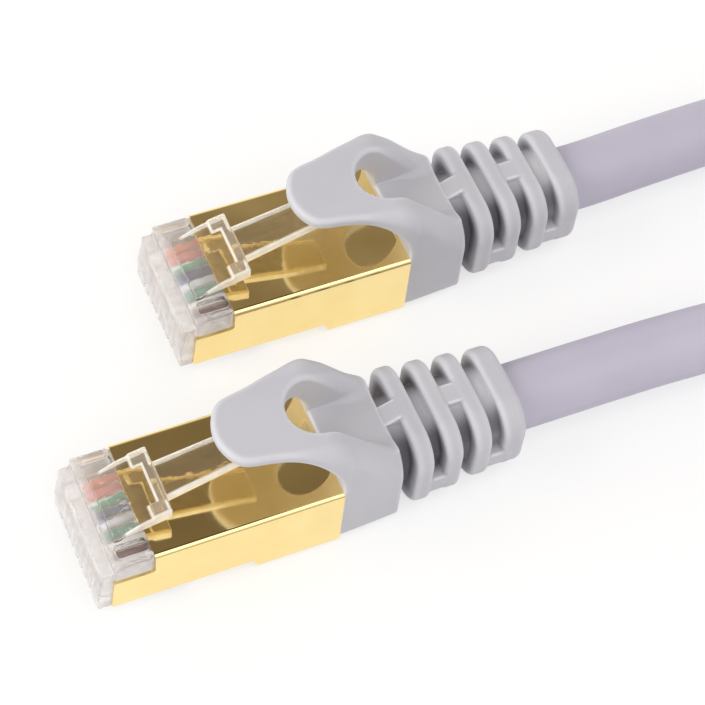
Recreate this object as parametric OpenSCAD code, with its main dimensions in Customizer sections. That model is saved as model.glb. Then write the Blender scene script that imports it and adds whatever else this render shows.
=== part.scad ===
// Shielded network patch cable: two 8-pole plugs with snag-free moulded boots on one round cable.
// Each plug is drawn with its datum, the flat front of its nose, at x = 0, its underside at z = 0 and
// its cable towards +X, and at_plug() sets it in its place. Only the nose's chin lies before the datum.
// The cable's coil lies on the floor behind the plugs.

/* [Plug shell] */
// Width of the metal shell
plug_w = 11.7; // [11.2:0.1:12.4]
// Height of the metal shell
plug_h = 6.4; // [6.2:0.1:7.2]
// Distance from the datum to the front edge of the shell's top
shell_front = 4.6; // [4.2:0.1:5.2]
// Distance from the datum to the rear wall of the shell
shell_rear = 21.5; // [21:0.1:23]
// Thickness of the shell's sheet metal
shell_t = 0.25; // [0.2:0.01:0.3]
// Outside radius of the shell's folded edges
shell_edge_r = 0.45; // [0.35:0.05:0.6]
// Distance from the datum to the front of the shell's side tongues
tongue_front = 0.8; // [0.5:0.1:1.4]
// Height of the shell's side tongues
tongue_h = 4.1; // [3:0.1:5]
// Radius of the corner between a side tongue and the shell's front edge
tongue_r = 0.35; // [0.2:0.05:0.8]
// Distance from the datum to the front edge of the shell's bottom
floor_front = 8; // [7:0.1:10]
// How far the lips of the side walls reach below the shell's bottom
lip_h = 0.65; // [0.4:0.05:0.8]
// Length of the lips, up to the shell's rear
lip_l = 7.9; // [5:0.1:8.5]
// Length of the neck that is crimped on the braid
neck_l = 2.9; // [2:0.1:3.4]

/* [Plug body] */
// How far the nose stands above the body that the shell covers
nose_step = 0.2; // [0.1:0.05:0.3]
// Length of the low ledge at the very front of the nose
ledge_l = 1; // [0.6:0.1:1.2]
// Height of the low ledge at the front of the nose
ledge_h = 5.4; // [5:0.1:5.8]
// How far the chin stands out below the front of the nose
chin_l = 0.35; // [0.2:0.05:0.5]
// Height of the chin
chin_h = 3; // [2.6:0.1:3.4]
// Height of the contact slots where they open at the front
slot_front_h = 2.2; // [1.6:0.1:2.4]
// Clearance between the body and the shell
body_gap = 0.05; // [0.03:0.01:0.1]
// Room beside the row of wires in the wire channel
channel_room = 0.27; // [0.1:0.01:0.4]
// Height of the wire channel
channel_h = 1.2; // [1.1:0.05:1.4]
// How much wider the hollow in the rear half of the body is than the channel
hollow_step = 0.3; // [0.1:0.05:0.6]
// Height of the hollow in the rear half of the body
hollow_h = 4.7; // [4.5:0.1:5]
// Length of the wire guide
guide_l = 2; // [1.5:0.1:2.8]

/* [Contacts] */
// Distance between neighbouring contacts
contact_pitch = 1.02; // [1:0.01:1.04]
// Thickness of a contact blade
contact_t = 0.3; // [0.25:0.01:0.34]
// Length of a contact blade
contact_l = 3.5; // [3:0.1:3.7]
// Height of a contact blade's lower edge above the plug's underside
contact_z = 0.6; // [0.5:0.05:0.8]

/* [Wires] */
// Diameter of a wire's insulation
wire_d = 0.82; // [0.74:0.01:0.84]
// Diameter of a wire's copper core
core_d = 0.5; // [0.4:0.01:0.56]
// Height of the row of wires above the plug's underside
row_z = 3.5; // [3.4:0.05:3.6]
// Thickness of the foil round each pair of wires
foil_t = 0.06; // [0.05:0.01:0.08]
// Thickness of the copper braid
braid_t = 0.15; // [0.1:0.01:0.2]

/* [Cable] */
// Outside diameter of the cable
cable_d = 6.2; // [6:0.1:6.4]
// Height of the cable's axis above the plug's underside
axis_z = 3.3; // [3.2:0.05:3.5]
// Radius of the coil's widest stretch, at the cable's middle
coil_out = 31.5; // [31:0.1:32]
// How far the coil winds inwards in one turn
coil_inset = 4.5; // [4:0.1:6]
// Height between the coil's two layers, at the cable's middle
layer_h = 6.7; // [6.65:0.05:7]

/* [Latch] */
// Distance from the datum to the latch's root
latch_x = 2; // [1.9:0.1:2.4]
// Width of the latch's front part
latch_w = 6.7; // [6:0.1:6.9]
// Width of the latch's lever at the shoulders
lever_w = 3.7; // [3:0.1:4.2]
// Width of the latch's lever at its free end
lever_end_w = 3.2; // [2.8:0.1:4]
// Thickness of the latch at its root
latch_t = 0.95; // [0.8:0.05:1]
// Thickness of the lever at its free end
lever_end_t = 0.8; // [0.6:0.05:0.9]
// Distance from the datum to the latch's shoulders
shoulder_x = 7; // [6.6:0.1:7.4]
// Distance from the datum to the free end of the lever
lever_x = 15.4; // [14:0.1:15.8]
// Radius of the latch's root
latch_r = 0.6; // [0.5:0.05:0.65]

/* [Boot] */
// Width of the boot at its front
boot_w = 11.9; // [11.9:0.1:12.6]
// Width of the boot at its rear
boot_rear_w = 10.8; // [10:0.1:11.6]
// Length of the boot's block behind the shell
boot_l = 5.8; // [5.4:0.1:6.4]
// How far the boot's underside hangs below the shell's
boot_drop = 0.6; // [0.4:0.05:0.8]
// Height of the boot's rear between its arms
saddle_z = 7.2; // [7.1:0.1:7.4]
// Height of the arms at the rear of the boot
arm_rear_z = 7.7; // [7.5:0.1:8.4]
// Radius of the arms' upper outer edges
arm_r = 1.5; // [1:0.1:1.8]
// Radius of the boot's upright rear corners
boot_corner_r = 0.8; // [0.4:0.1:1.2]
// Length of the inner mould round the shell's neck
mould_l = 3; // [2:0.1:3.1]
// Width of the inner mould
mould_w = 8.4; // [7:0.1:9]
// Height of the inner mould
mould_h = 5.8; // [5.6:0.1:6]

/* [Latch guard] */
// Distance from the datum to the front of the latch guard
guard_front = 11.75; // [11.5:0.05:12.5]
// Width of the guard's paddle near its front
guard_w = 6.8; // [6:0.1:7.4]
// Height of the paddle's underside
guard_under = 11.45; // [11.3:0.05:12]
// Thickness of the paddle
guard_t = 1.15; // [0.9:0.05:1.4]
// Radius of the side arches under the guard
arch_r = 4.95; // [4.7:0.05:5]
// Width of the slot behind the paddle
slot_w = 5.4; // [4.8:0.1:5.8]
// Radius of the guard's hinge
guard_r = 0.6; // [0.5:0.05:0.6]

/* [Strain relief] */
// Number of rings
ring_count = 4; // [3:1:4]
// Thickness of a ring
ring_t = 1.6; // [1.3:0.1:1.8]
// Thickness of the last ring
last_ring_t = 2.2; // [1.8:0.1:2.6]
// Gap in front of each ring
ring_gap = 1.25; // [1:0.05:1.4]
// Width of the first ring
ring_w = 11; // [10.4:0.1:11.4]
// Height of the first ring
ring_h = 9; // [8.6:0.1:9.4]
// Width that each ring loses to the one before it
ring_w_step = 0.46; // [0.3:0.02:0.6]
// Height that each ring loses to the one before it
ring_h_step = 0.3; // [0.2:0.02:0.4]
// Corner radius of the rings
ring_r = 2.8; // [2:0.1:3]
// Width of the core between the rings
core_w = 7.3; // [7:0.1:8]
// Corner radius of the core
core_r = 3; // [2:0.1:3.3]
// Height of the core between the rings
core_h = 7; // [6.8:0.1:7.6]
// Width of the bridges along the top
top_bridge_w = 2; // [1.4:0.1:2.6]
// Height of the bridges along the sides
side_bridge_h = 2.2; // [1.6:0.1:2.6]

/* [Arrangement] */
// How far plug b's nose lies in front of plug a's
stagger_x = 15; // [15:0.1:16]
// Distance between the two plugs' axes
stagger_y = 20.4; // [20.4:0.1:21]

/* [Hidden] */

$fn = 48;
fit = 0.02;              // clearance between moulded or drawn-in pieces
hinge_gap = 0.05;        // clearance round a hinge's knuckle
over = 1;                // how far a cut runs past the face that it opens
sink = 0.1;              // how far a rib or tine is sunk in what carries it
end_room = 0.1;          // room past the end of a piece in its channel
rear_room = 0.35;        // room between the plug's body and the shell's rear wall
contact_count = 8;

// Plug, from the sizes above
body_top = plug_h - shell_t - body_gap;
body_floor = shell_t + body_gap;
body_w = plug_w - 2 * (shell_t + body_gap);
nose_top = body_top + nose_step;
body_rear = shell_rear - shell_t - rear_room;
tip = 0.4;               // bevel along the nose's upper front edge
chin_bevel = 0.2;
ledge_rise = 0.1;        // how far the nose slopes back above its ledge
channel_w = (contact_count - 1) * contact_pitch + wire_d + 2 * channel_room;
hollow_w = channel_w + hollow_step;
wire_x = 1.7;            // where the wires end in the nose
guide_x = 8.6;           // front of the wire guide
fan_x = 11.6;            // where the wires leave their row
pair_x = 17.6;           // where the wires have met in pairs
hollow_x = fan_x + 0.3;  // front of the hollow behind the wire channel
foil_x = pair_x + 0.3;
contact_x = 1.4;
contact_top = row_z - wire_d / 2 - 0.15;
blade_toe = 0.5;         // bevels at a blade's lower front and lower rear
blade_heel = 0.3;
tine_w = 0.3;
tine_first = 1.3;        // from a blade's front edge to its first tine
tine_step = 1.2;         // from its first tine to its second
tine_xs = [for (k = [0, 1]) contact_x + tine_first + k * tine_step];
tine_top = row_z - core_d / 2 - fit;
pocket_x = ledge_l + 0.7; // pockets beside the latch's root
pocket_w = 1.2;
pocket_l = 2.7;
pocket_z = 4.6;
pocket_wall = 0.2;       // wall between a pocket and the latch's seat
tongue_toe = 0.7;        // height of the bevel at the foot of a side tongue
tongue_lean = 0.2;       // how far a side tongue leans back to its top
lip_run = 0.35;          // length of the slope at the front of each lip

// Cable layers, from the inside outwards
pair_gap = 0.9;          // between the two wires' middles in a pair
foil_in = pair_gap + wire_d + 2 * fit;
foil_out = foil_in + 2 * foil_t;
pair_r = foil_out / sqrt(2) + 0.02;
braid_in = 2 * pair_r + foil_out + 3 * fit;
braid_out = braid_in + 2 * braid_t;
jacket_in = braid_out + 2 * fit;
neck_in = braid_out + 2 * fit;
neck_out = neck_in + 2 * shell_t;
neck_end = shell_rear + neck_l;
jacket_x = neck_end + 0.3;
relief_x = shell_rear + boot_l;
relief_l = ring_count * ring_gap + (ring_count - 1) * ring_t + last_ring_t;
relief_end = relief_x + relief_l;

// Latch: its underside climbs from the root to the shoulders, and a little faster from there
latch_z = nose_top + 0.05;
latch_slope = 0.23;
lever_slope = 0.265;
shoulder_l = 1.8;
shoulder_t = 0.25;
lever_root = 0.5;        // how far the lever is sunk in the latch's front part
lever_bevel = 0.3;       // bevels at the lever's free end
function latch_under(x) = latch_z + latch_slope * (x - latch_x);
shoulder_under = latch_under(shoulder_x);
function lever_under(x) = shoulder_under + lever_slope * (x - shoulder_x);

// Boot and latch guard
mould_r = 1;
guard_x = shell_rear + 0.4;
guard_z = plug_h + guard_r + hinge_gap;
guard_top = guard_under + guard_t;
arm_gap = 0.1;           // between the guard's arms and the boot's
brow_l = 1.3;            // length and height of the bevel at the rear of the guard's top
brow_h = 0.6;
slot_r = slot_w / 2;
slot_x = guard_x - 1;    // middle of the slot's round front
lip_bevel = 0.3;         // bevels along the paddle's front edge
crown_l = 1;             // how far back the paddle's top rises
nose_rise = 1.6;         // how far the paddle's round front reaches back
flare_x = guard_front + 1.75;
flare_power = 1.6;
front_steps = 8;
side_steps = 8;

// Half width of the guard at x: even along the paddle, and flaring to the boot's width at the hinge.
function guard_half(x) =
    guard_w / 2 + (boot_w - guard_w) / 2 * pow(max(x - flare_x, 0) / (guard_x - flare_x), flare_power);
guard_side = concat(
    [for (k = [0 : front_steps - 1]) let (a = 90 * k / front_steps)
        [guard_front + nose_rise * (1 - cos(a)), guard_w / 2 * sin(a)]],
    [for (k = [0 : side_steps]) let (x0 = guard_front + nose_rise, x = x0 + (guard_x - x0) * k / side_steps)
        [x, guard_half(x)]]
);

// Strain relief
bridge_step = 0.1;       // how far the bridges lie below the rings' outside

// Where the plugs and the cable lie
lift = ring_h / 2 - axis_z;
reach = relief_end + stagger_x;
plug_at = [
    [stagger_x - reach / 2, stagger_y / 2, lift],
    [-reach / 2, -stagger_y / 2, lift]
];
floor_z = cable_d / 2;
coil_at = [84.4, -18.9];
coil_turns = 5 / 3;
layer_turns = coil_turns / 2;
coil_end = cable_d;      // straight stretch at each end of the coil
start_angle = 90;        // where the cable from plug a meets the coil; it winds clockwise from there
end_angle = start_angle - 360 * coil_turns;
exit_a = plug_at[0] + [relief_end, 0, axis_z];
exit_b = plug_at[1] + [relief_end, 0, axis_z];

// The coil's middle line: u counts turns from plug a's end; the spiral winds in for half of them and
// out again above for the rest, and it climbs a layer in the half turn where it reverses.
function eased(t) = let (c = min(max(t, 0), 1)) c * c * (3 - 2 * c);
function along_turn(u) = [sin(start_angle - 360 * u), -cos(start_angle - 360 * u), 0];
function coil_point(u) = let (
    a = start_angle - 360 * u,
    r = coil_out - coil_inset * (layer_turns - abs(u - layer_turns)),
    climb = eased(2 * (u - layer_turns) + 0.5))
    [coil_at[0] + r * cos(a), coil_at[1] + r * sin(a), floor_z + layer_h * climb];
rings_per_turn = 24;
coil_steps = rings_per_turn * coil_turns;
coil_start = coil_point(0) - coil_end * along_turn(0);
coil_stop = coil_point(coil_turns) + coil_end * along_turn(coil_turns);
coil_line = concat([coil_start], [for (k = [0 : coil_steps]) coil_point(k / rings_per_turn)], [coil_stop]);

// Routes of the two leads from the strain relief to the coil, straight at each end
straight = 3;
route_a = [
    exit_a, exit_a + [straight, 0, 0], [36, 10.5, 4.5], [43, 10.8, 4.4], [51, 11.2, 3.7], [59, 11.7, 3.2],
    [67, 12.2, 3.1], coil_start - straight * along_turn(0), coil_start
];
route_b = [
    exit_b, exit_b + [straight, 0, 0], [22, -10.2, 4.5], [28.5, -10.3, 4.5], [34.9, -11.1, 5.1],
    [40.7, -13.5, 6.4], [45.8, -17.3, 8], [49.6, -22.1, 9.3],
    coil_stop + straight * along_turn(coil_turns), coil_stop
];

// ---------------------------------------------------------------- shapes

module at_plug(k) translate(plug_at[k]) children();

// A straight round rod from p to q.
module rod(p, q, d) {
    v = q - p;
    l = norm(v);
    translate(p) rotate([0, acos(v[2] / l), atan2(v[1], v[0])]) cylinder(h = l, d = d);
}

// A round rod along X on the cable's axis.
module core_rod(x0, x1, d) translate([x0, 0, axis_z]) rotate([0, 90, 0]) cylinder(h = x1 - x0, d = d);

// A rod across the plug, at x and z.
module cross_rod(x, z, r, w) translate([x, w / 2, z]) rotate([90, 0, 0]) cylinder(h = w, r = r);

// A flat outline in x and z, drawn across the plug to the width w.
module across(w) translate([0, w / 2, 0]) rotate([90, 0, 0]) linear_extrude(w) children();

// A flat outline in y and z, drawn along the plug from x0 to x1.
module along(x0, x1) translate([x0, 0, 0]) rotate([90, 0, 90]) linear_extrude(x1 - x0) children();

// A box between two x values, on the plug's middle plane.
module block(x0, x1, w, z0, z1) translate([x0, -w / 2, z0]) cube([x1 - x0, w, z1 - z0]);

// A rectangle with round corners, its middle at the origin.
module round_box(w, h, r) {
    square([w - 2 * r, h], center = true);
    square([w, h - 2 * r], center = true);
    for (sy = [-1, 1], sz = [-1, 1]) translate([sy * (w / 2 - r), sz * (h / 2 - r)]) circle(r);
}

// ---------------------------------------------------------------- tubes

function unit(v) = v / norm(v);

// Direction of the route at its point k, halfway between the stretches that meet there.
function heading(p, k) = unit(
    (k > 0 ? unit(p[k] - p[k - 1]) : [0, 0, 0]) + (k < len(p) - 1 ? unit(p[k + 1] - p[k]) : [0, 0, 0])
);

// The rings of points round a route, one at each of its points and square to it.
function rings(p, d, sides) = [for (k = [0 : len(p) - 1]) let (
    t = heading(p, k), s = unit(cross([0, 0, 1], t)), u = cross(t, s))
    for (j = [0 : sides - 1]) let (a = 360 * (j + 0.5) / sides) p[k] + d / 2 * (cos(a) * s + sin(a) * u)];

// The triangles of a tube's wall, whose points start at number n0; they face inwards if it is a bore.
function wall(n0, n, sides, bore) = [for (k = [0 : n - 2], j = [0 : sides - 1]) let (
    a = n0 + k * sides + j, b = n0 + k * sides + (j + 1) % sides)
    each bore
        ? [[a, a + sides, b + sides], [a, b + sides, b]]
        : [[a, b + sides, a + sides], [a, b, b + sides]]];

// One solid tube along the route p.
module tube(p, d, sides) {
    last = (len(p) - 1) * sides;
    polyhedron(rings(p, d, sides), concat(wall(0, len(p), sides, false), [
        for (j = [1 : sides - 2]) each [[0, j + 1, j], [last, last + j, last + j + 1]]
    ]));
}

// One hollow tube along the route p.
module pipe(p, d, d_in, sides) {
    n = len(p) * sides;
    last = n - sides;
    polyhedron(concat(rings(p, d, sides), rings(p, d_in, sides)), concat(
        wall(0, len(p), sides, false), wall(n, len(p), sides, true),
        [for (j = [0 : sides - 1]) let (m = (j + 1) % sides) each [
            [j, n + m, m], [j, n + j, n + m],
            [last + j, last + m, n + last + m], [last + j, n + last + m, n + last + j]
        ]]
    ));
}

// Least distance between two turns of the coil, measured on its middle line, less the cable.
coil_least = min([for (i = [0 : coil_steps], j = [i + rings_per_turn / 2 : coil_steps])
    norm(coil_point(i / rings_per_turn) - coil_point(j / rings_per_turn))]) - cable_d;
union() {  // cable_coil
    echo(coil_least_gap = coil_least);
    echo(cable_length = route_length(route_a) + route_length(coil_line) + route_length(route_b));
}
function route_length(p) = len(p) < 2 ? 0
    : norm(p[1] - p[0]) + route_length([for (k = [1 : len(p) - 1]) p[k]]);

// ---------------------------------------------------------------- plug pieces

// Clear body: nose, shell seat, wire channel, contact slots and the round seat of the latch's root.
module housing() color("ghostwhite", 0.5) difference() {
    across(body_w) polygon([
        [chin_bevel - chin_l, 0], [-chin_l, chin_bevel], [-chin_l, chin_h - chin_bevel], [0, chin_h],
        [0, ledge_h - tip], [tip, ledge_h], [ledge_l, ledge_h],
        [ledge_l + ledge_rise, nose_top],
        [shell_front - body_gap, nose_top], [shell_front - body_gap, body_top],
        [body_rear, body_top], [body_rear, body_floor], [floor_front - body_gap, body_floor],
        [floor_front - body_gap, 0]
    ]);
    block(wire_x - end_room, hollow_x + end_room, channel_w, row_z - channel_h / 2, row_z + channel_h / 2);
    block(hollow_x, body_rear + over, hollow_w, axis_z - hollow_h / 2, axis_z + hollow_h / 2);
    for (i = [0 : contact_count - 1]) translate([0, contact_y(i), 0]) {
        block(contact_x - end_room, contact_x + contact_l + end_room, contact_t + 2 * fit, -over, row_z);
        block(-chin_l - over, contact_x, contact_t + 2 * fit, -over, slot_front_h);
    }
    for (s = [-1, 1]) translate([0, s * (latch_w / 2 + hinge_gap + pocket_wall + pocket_w / 2), 0])
        block(pocket_x, pocket_x + pocket_l, pocket_w, pocket_z, nose_top + over);
    cross_rod(latch_x, latch_z, latch_r + hinge_gap, latch_w + 2 * hinge_gap);
}

function contact_y(i) = (3.5 - i) * contact_pitch;

// Clear latch: round root, wide front part with its shoulders, and the narrow lever.
module latch() color("aliceblue", 0.6) {
    cross_rod(latch_x, latch_z, latch_r, latch_w);
    across(latch_w) polygon([
        [latch_x, latch_under(latch_x)], [shoulder_x, shoulder_under],
        [shoulder_x, shoulder_under + latch_t], [latch_x, latch_z + latch_t]
    ]);
    for (s = [-1, 1]) translate([0, s * (latch_w + lever_w) / 4, 0])
        across((latch_w - lever_w) / 2) polygon([
            [shoulder_x - shoulder_l, latch_under(shoulder_x - shoulder_l) + latch_t / 2],
            [shoulder_x, shoulder_under + latch_t / 2],
            [shoulder_x, shoulder_under + latch_t + shoulder_t],
            [shoulder_x - shoulder_l, latch_under(shoulder_x - shoulder_l) + latch_t + shoulder_t]
        ]);
    intersection() {
        across(lever_w) polygon([
            [shoulder_x - lever_root, latch_under(shoulder_x - lever_root)], [shoulder_x, shoulder_under],
            [lever_x - lever_bevel, lever_under(lever_x - lever_bevel)],
            [lever_x, lever_under(lever_x) + lever_bevel],
            [lever_x, lever_under(lever_x) + lever_end_t - lever_bevel],
            [lever_x - lever_bevel, lever_under(lever_x - lever_bevel) + lever_end_t],
            [shoulder_x - lever_root, latch_under(shoulder_x - lever_root) + latch_t]
        ]);
        linear_extrude(plug_h * 3) polygon([
            [shoulder_x - over, -lever_w / 2], [shoulder_x, -lever_w / 2], [lever_x, -lever_end_w / 2],
            [lever_x, lever_end_w / 2], [shoulder_x, lever_w / 2], [shoulder_x - over, lever_w / 2]
        ]);
    }
}

// Eight gold contact blades, each with two tines that pierce its wire.
module contacts() color("gold") for (i = [0 : contact_count - 1]) translate([0, contact_y(i), 0])
    across(contact_t) {
        polygon([
            [contact_x + blade_toe, contact_z], [contact_x + contact_l - blade_heel, contact_z],
            [contact_x + contact_l, contact_z + blade_heel], [contact_x + contact_l, contact_top],
            [contact_x, contact_top], [contact_x, contact_z + blade_toe]
        ]);
        for (x = tine_xs) translate([x, contact_top - sink]) square([tine_w, tine_top - contact_top + sink]);
    }

// Comb that holds the eight wires in their row.
module wire_guide() color("whitesmoke") difference() {
    block(guide_x, guide_x + guide_l, channel_w - 2 * body_gap,
        row_z - channel_h / 2 + body_gap, row_z + channel_h / 2 - body_gap);
    for (i = [0 : contact_count - 1])
        rod([guide_x - over, contact_y(i), row_z], [guide_x + guide_l + over, contact_y(i), row_z],
            wire_d + 2 * fit);
}

// Where each wire lies in the cable: the middle of its pair, and its side of it.
pair_angle = [0, 0, 270, 90, 90, 270, 180, 180];
pair_side = [1, -1, 1, 1, -1, -1, 1, -1];
function in_pair(i) =
    [pair_r * cos(pair_angle[i]) + pair_side[i] * pair_gap / 2, axis_z + pair_r * sin(pair_angle[i])];

// The route of wire i: along its row, slanting in to its pair, and on through the cable.
function wire_route(i) = let (y = contact_y(i), c = in_pair(i))
    [[wire_x, y, row_z], [fan_x, y, row_z], [pair_x, c[0], c[1]], [relief_end, c[0], c[1]]];
wire_sides = 10;

module wire(i, shade) color(shade) difference() {
    pipe(wire_route(i), wire_d, core_d + 2 * fit, wire_sides);
    for (x = tine_xs) translate([x - fit, contact_y(i) - contact_t / 2 - fit, row_z - wire_d])
        cube([tine_w + 2 * fit, contact_t + 2 * fit, wire_d]);
}

module wire_cores() color("peru") for (i = [0 : contact_count - 1]) tube(wire_route(i), core_d, wire_sides);

module pair_foils() color("silver") for (a = [0, 90, 180, 270]) {
    y = pair_r * cos(a);
    z = axis_z + pair_r * sin(a);
    difference() {
        rod([foil_x, y, z], [relief_end, y, z], foil_out);
        rod([foil_x - over, y, z], [relief_end + over, y, z], foil_in);
    }
}

module braid() color("darkgoldenrod") difference() {
    core_rod(shell_rear - shell_t, relief_end, braid_out);
    core_rod(shell_rear - over, relief_end + over, braid_in);
}

// The end of the cable's jacket, inside the strain relief.
module jacket_end() color("thistle") difference() {
    core_rod(jacket_x, relief_end, cable_d);
    core_rod(jacket_x - over, relief_end + over, jacket_in);
}

// Gold-plated shell with its side tongues, the lips of its side walls, rear wall and crimped neck.
module shell() color("gold") difference() {
    union() {
        intersection() {
            along(0, shell_rear) translate([0, plug_h / 2]) round_box(plug_w, plug_h, shell_edge_r);
            across(plug_w + over) {
                polygon([
                    [tongue_front + tongue_lean / 2, 0], [tongue_front, tongue_toe],
                    [tongue_front + tongue_lean, tongue_h],
                    [shell_front, tongue_h], [shell_front, plug_h], [shell_rear, plug_h], [shell_rear, 0]
                ]);
                translate([shell_front - tongue_r, tongue_h]) difference() {
                    translate([0, -sink]) square([tongue_r + sink, tongue_r + sink]);
                    translate([0, tongue_r]) circle(tongue_r);
                }
            }
        }
        for (s = [-1, 1]) translate([0, s * (plug_w - shell_t) / 2, 0]) across(shell_t) polygon([
            [shell_rear - lip_l, 0], [shell_rear - lip_l + lip_run, -lip_h], [shell_rear, -lip_h],
            [shell_rear, shell_edge_r], [shell_rear - lip_l, shell_edge_r]
        ]);
        core_rod(shell_rear - shell_t, neck_end, neck_out);
    }
    along(-over, shell_rear - shell_t) translate([0, plug_h / 2])
        round_box(plug_w - 2 * shell_t, plug_h - 2 * shell_t, shell_edge_r - shell_t);
    block(-over, floor_front, plug_w - 2 * shell_t, -over, body_floor);
    core_rod(shell_rear - over, neck_end + over, neck_in);
}

// Inner mould, cast round the neck before the boot.
module inner_mould() color("gainsboro") difference() {
    along(shell_rear + fit, shell_rear + mould_l) translate([0, axis_z]) round_box(mould_w, mould_h, mould_r);
    core_rod(shell_rear - over, shell_rear + mould_l + over, neck_out + 2 * fit);
}

// The boot's outline from above: it narrows to the rear, where its corners are round.
module boot_plan(x0) {
    r = boot_corner_r;
    polygon([
        [x0, -boot_w / 2], [relief_x - r, -boot_rear_w / 2], [relief_x, -boot_rear_w / 2 + r],
        [relief_x, boot_rear_w / 2 - r], [relief_x - r, boot_rear_w / 2], [x0, boot_w / 2]
    ]);
}

// The boot seen from behind: its two upper edges are round, from the arms down.
module boot_section() along(guard_front - over, relief_x + over)
    round_box(boot_w, 2 * guard_top, arm_r);

// The slot between the two arms, with its round front.
module slot_plan() {
    translate([slot_x, 0]) circle(slot_r);
    translate([slot_x, -slot_r]) square([relief_x + over - slot_x, slot_w]);
}

// Boot: block, and the rear halves of the two arms that carry the latch guard.
module boot() color("lavender") difference() {
    intersection() {
        translate([0, 0, -boot_drop]) linear_extrude(guard_top + boot_drop + over) boot_plan(shell_rear);
        across(boot_w + over) polygon([
            [shell_rear, -boot_drop], [shell_rear, guard_z], [guard_x, guard_z],
            [guard_x, guard_top - brow_h],
            [relief_x, arm_rear_z], [relief_x, -boot_drop]
        ]);
        boot_section();
    }
    translate([0, 0, saddle_z]) linear_extrude(guard_top) slot_plan();
    for (s = [-1, 1]) translate([0, s * boot_w / 2, 0])
        cross_rod(guard_x, guard_z, guard_r + hinge_gap, boot_w - slot_w + over);
    along(shell_rear - over, shell_rear + mould_l + fit) translate([0, axis_z])
        round_box(mould_w + 2 * fit, mould_h + 2 * fit, mould_r + fit);
    core_rod(shell_rear, relief_x + over, cable_d + 2 * fit);
}

// Latch guard: the paddle over the latch's lever, with its two arms down to the hinge.
module latch_guard() color("lavender") {
    difference() {
        intersection() {
            linear_extrude(guard_top + over) polygon(concat(
                guard_side,
                [for (k = [len(guard_side) - 1 : -1 : 1]) [guard_side[k][0], -guard_side[k][1]]]
            ));
            across(boot_w + over) difference() {
                polygon([
                    [guard_front, guard_under + lip_bevel],
                    [guard_front + lip_bevel, guard_top - lip_bevel / 2],
                    [guard_front + crown_l, guard_top], [guard_x - brow_l, guard_top],
                    [guard_x - arm_gap, guard_top - brow_h],
                    [guard_x - arm_gap, guard_z], [guard_x - arm_gap - arch_r, guard_z],
                    [guard_x - arm_gap - arch_r, guard_under], [guard_front + lip_bevel, guard_under]
                ]);
                translate([guard_x - guard_r - arch_r, guard_under - arch_r]) circle(arch_r);
                translate([guard_front, plug_h])
                    square([guard_x - guard_r - arch_r - guard_front, guard_under - plug_h]);
                translate([guard_front, plug_h])
                    square([guard_x - guard_r - guard_front, guard_under - arch_r - plug_h]);
            }
            boot_section();
        }
        linear_extrude(guard_top + over) slot_plan();
        cross_rod(guard_x, guard_z, guard_r, boot_w + over);
    }
    for (s = [-1, 1]) translate([0, s * (boot_w + slot_w) / 4, 0])
        cross_rod(guard_x, guard_z, guard_r, (boot_w - slot_w) / 2 - 2 * hinge_gap);
}

// Strain relief: the rings on their core, with bridges that alternate between top and sides.
function ring_x(i) = relief_x + ring_gap + i * (ring_gap + ring_t);
function ring_wi(i) = ring_w - i * ring_w_step;
function ring_hi(i) = ring_h - i * ring_h_step;
module strain_relief() color("lavender") difference() {
    union() {
        along(relief_x, relief_end) translate([0, axis_z]) round_box(core_w, core_h, core_r);
        for (i = [0 : ring_count - 1]) {
            along(ring_x(i), ring_x(i) + (i == ring_count - 1 ? last_ring_t : ring_t))
                translate([0, axis_z]) round_box(ring_wi(i), ring_hi(i), ring_r);
            if (i % 2 == 0)
                block(ring_x(i) - ring_gap, ring_x(i) + sink, top_bridge_w,
                    axis_z, axis_z + ring_hi(i) / 2 - bridge_step);
            else
                block(ring_x(i) - ring_gap - sink, ring_x(i) + sink, ring_wi(i) - 2 * bridge_step,
                    axis_z - bridge_step - side_bridge_h, axis_z - bridge_step);
        }
    }
    core_rod(relief_x - over, relief_end + over, cable_d + 2 * fit);
}

// ---------------------------------------------------------------- cable pieces

module cable_lead_a() color("thistle") tube(route_a, cable_d, 8);
module cable_lead_b() color("thistle") tube(route_b, cable_d, 8);
module cable_coil() color("thistle") tube(coil_line, cable_d, 6);

// ---------------------------------------------------------------- nodes

at_plug(0) housing();  // housing_a
at_plug(0) latch();  // latch_a
at_plug(0) contacts();  // contacts_a
at_plug(0) wire_guide();  // wire_guide_a
at_plug(0) wire(0, "bisque");  // wire_white_orange_a
at_plug(0) wire(1, "salmon");  // wire_orange_a
at_plug(0) wire(2, "honeydew");  // wire_white_green_a
at_plug(0) wire(3, "midnightblue");  // wire_blue_a
at_plug(0) wire(4, "lightskyblue");  // wire_white_blue_a
at_plug(0) wire(5, "seagreen");  // wire_green_a
at_plug(0) wire(6, "linen");  // wire_white_brown_a
at_plug(0) wire(7, "saddlebrown");  // wire_brown_a
at_plug(0) wire_cores();  // wire_cores_a
at_plug(0) pair_foils();  // pair_foils_a
at_plug(0) braid();  // braid_a
at_plug(0) jacket_end();  // jacket_end_a
at_plug(0) shell();  // shell_a
at_plug(0) inner_mould();  // inner_mould_a
at_plug(0) boot();  // boot_a
at_plug(0) latch_guard();  // latch_guard_a
at_plug(0) strain_relief();  // strain_relief_a
at_plug(1) housing();  // housing_b
at_plug(1) latch();  // latch_b
at_plug(1) contacts();  // contacts_b
at_plug(1) wire_guide();  // wire_guide_b
at_plug(1) wire(0, "bisque");  // wire_white_orange_b
at_plug(1) wire(1, "salmon");  // wire_orange_b
at_plug(1) wire(2, "honeydew");  // wire_white_green_b
at_plug(1) wire(3, "midnightblue");  // wire_blue_b
at_plug(1) wire(4, "lightskyblue");  // wire_white_blue_b
at_plug(1) wire(5, "seagreen");  // wire_green_b
at_plug(1) wire(6, "linen");  // wire_white_brown_b
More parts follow.
